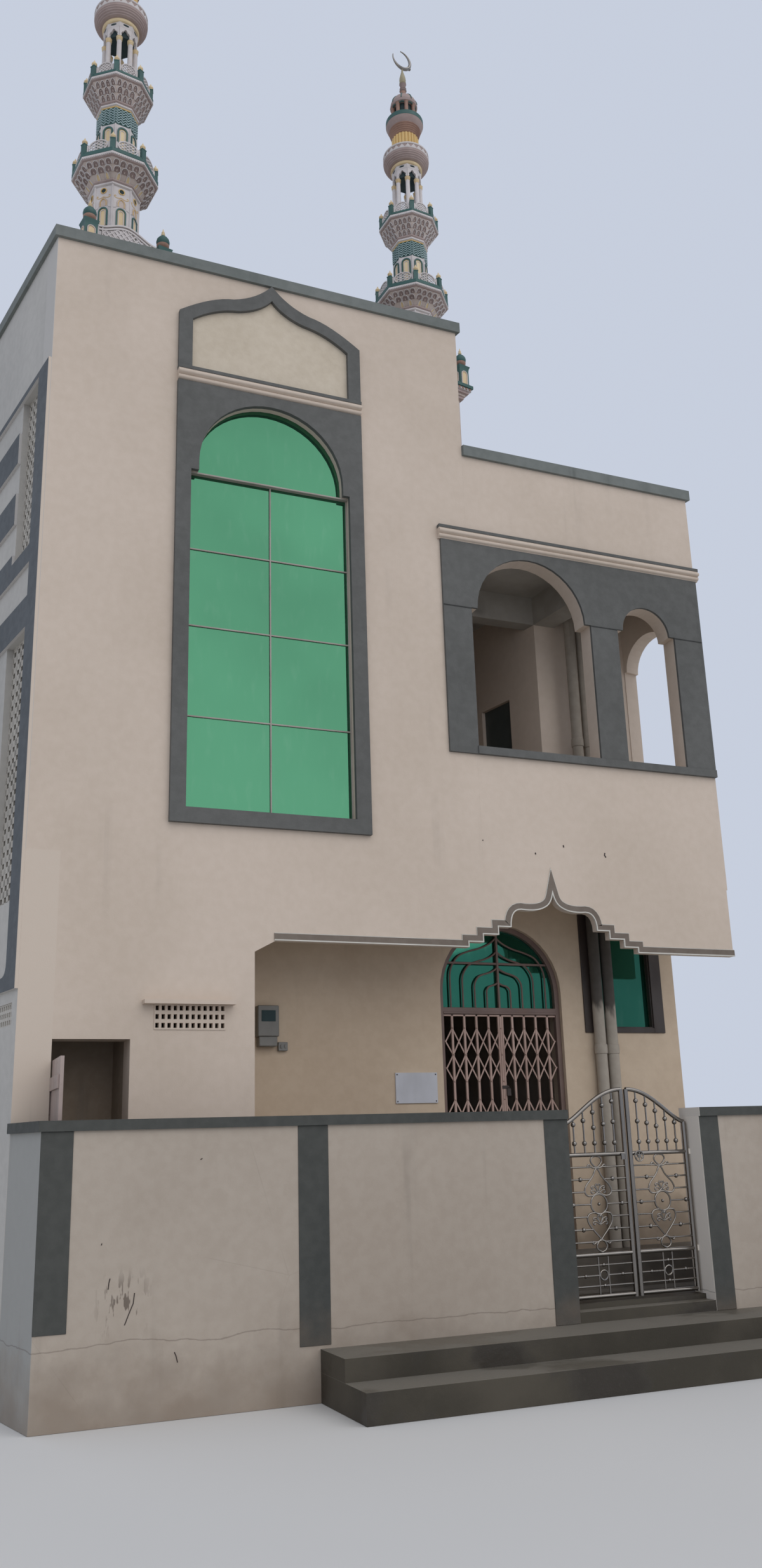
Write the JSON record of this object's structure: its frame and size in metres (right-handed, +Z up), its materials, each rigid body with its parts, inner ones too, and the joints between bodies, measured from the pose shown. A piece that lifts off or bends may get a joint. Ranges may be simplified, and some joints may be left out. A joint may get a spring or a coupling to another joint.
{
  "type": "small mosque building with two minarets and a yard gate",
  "caption": "Narrow street mosque: tall block with an arched glass window, lower wing with an arcade over a veranda, walled yard with a double gate and steps, and slender minarets.",
  "frame": {"origin": "on the ground under the middle of the ground floor", "axes": "+Z up, +Y from the front wall back into the building, +X to the right seen from the street"},
  "size_m": [7.9622, 9.46, 15.5174],
  "materials": {
    "cement": "trowelled cement, worn and damp in places",
    "cream_plaster": "cream wall paint on smooth plaster",
    "grey_trim": "grey-green paint on stippled plaster",
    "side_plaster": "pale paint on plaster",
    "blue_band": "blue-grey paint on raised plaster",
    "stainless_steel": "polished stainless tube",
    "brown_steel": "dull brown paint",
    "pink_steel": "faded pinkish brown paint",
    "green_glass": "green reflective glass",
    "white_cement": "white painted cement",
    "door_paint": "worn pinkish paint",
    "dark_door": "dark paint",
    "meter_case": "grey enamel",
    "pipe": "weathered grey drain pipe",
    "minaret_plaster": "cream, green and gold paint on moulded cement"
  },
  "bodies": {
    "building": {"ground_floor": "cement", "yard_floor": "cement", "upper_step": "cement", "lower_step": "cement", "yard_wall_left": "cream_plaster", "yard_wall_right": "cream_plaster", "yard_coping_left": "grey_trim", "yard_coping_right": "grey_trim", "vent_wall": "cream_plaster", "door_lintel": "cream_plaster", "veranda_side_wall": "cream_plaster", "closet_wall": "cream_plaster", "vent_grille": "white_cement", "side_vent": "white_cement", "veranda_wall": "cream_plaster", "veranda_window": "green_glass", "entrance_frame": "brown_steel", "entrance_glass": "green_glass", "folding_gate": "pink_steel", "meter_box": "meter_case", "notice_plate": "white_cement", "pipe_left": "pipe", "pipe_right": "pipe", "veranda_fascia": "cream_plaster", "first_floor_slab": "cream_plaster", "left_wall": "side_plaster", "upper_screen_1": "white_cement", "lower_screen_1": "white_cement", "upper_screen_2": "white_cement", "lower_screen_2": "white_cement", "side_band": "blue_band", "right_wall": "cream_plaster", "rear_wall": "side_plaster", "main_front_wall": "cream_plaster", "tall_window_glass": "green_glass", "window_surround": "grey_trim", "window_cornice": "cream_plaster", "ogee_band": "grey_trim", "divider_wall": "cream_plaster", "wing_front_wall": "cream_plaster", "arcade_facing": "grey_trim", "arcade_cornice": "cream_plaster", "room_front_wall": "cream_plaster", "room_side_wall": "cream_plaster", "upper_door": "dark_door", "main_roof": "cement", "wing_roof": "cement", "main_coping": "grey_trim", "wing_coping": "grey_trim", "left_minaret_tower": "minaret_plaster", "left_minaret_shaft": "minaret_plaster", "left_minaret_lantern": "minaret_plaster", "left_minaret_crown": "minaret_plaster", "right_minaret_tower": "minaret_plaster", "right_minaret_shaft": "minaret_plaster", "right_minaret_lantern": "minaret_plaster", "right_minaret_crown": "minaret_plaster"},
    "gate_leaf_left": {"gate_leaf_left": "stainless_steel"},
    "gate_leaf_right": {"gate_leaf_right": "stainless_steel"},
    "door_leaf": {"door_leaf": "door_paint"}
  },
  "joints": [
    {"name": "left_gate_hinge", "type": "hinge", "parent": "building", "child": "gate_leaf_left", "pos_m": [1.724, -4.464, 1.1], "axis": [0, 0, 1], "range_deg": [0, 90]},
    {"name": "right_gate_hinge", "type": "hinge", "parent": "building", "child": "gate_leaf_right", "pos_m": [2.84, -4.464, 1.1], "axis": [0, 0, 1], "range_deg": [-90, 0]},
    {"name": "small_door_hinge", "type": "hinge", "parent": "building", "child": "door_leaf", "pos_m": [-2.076, -3.97, 1.3], "axis": [0, 0, 1], "range_deg": [0, 92]}
  ]
}
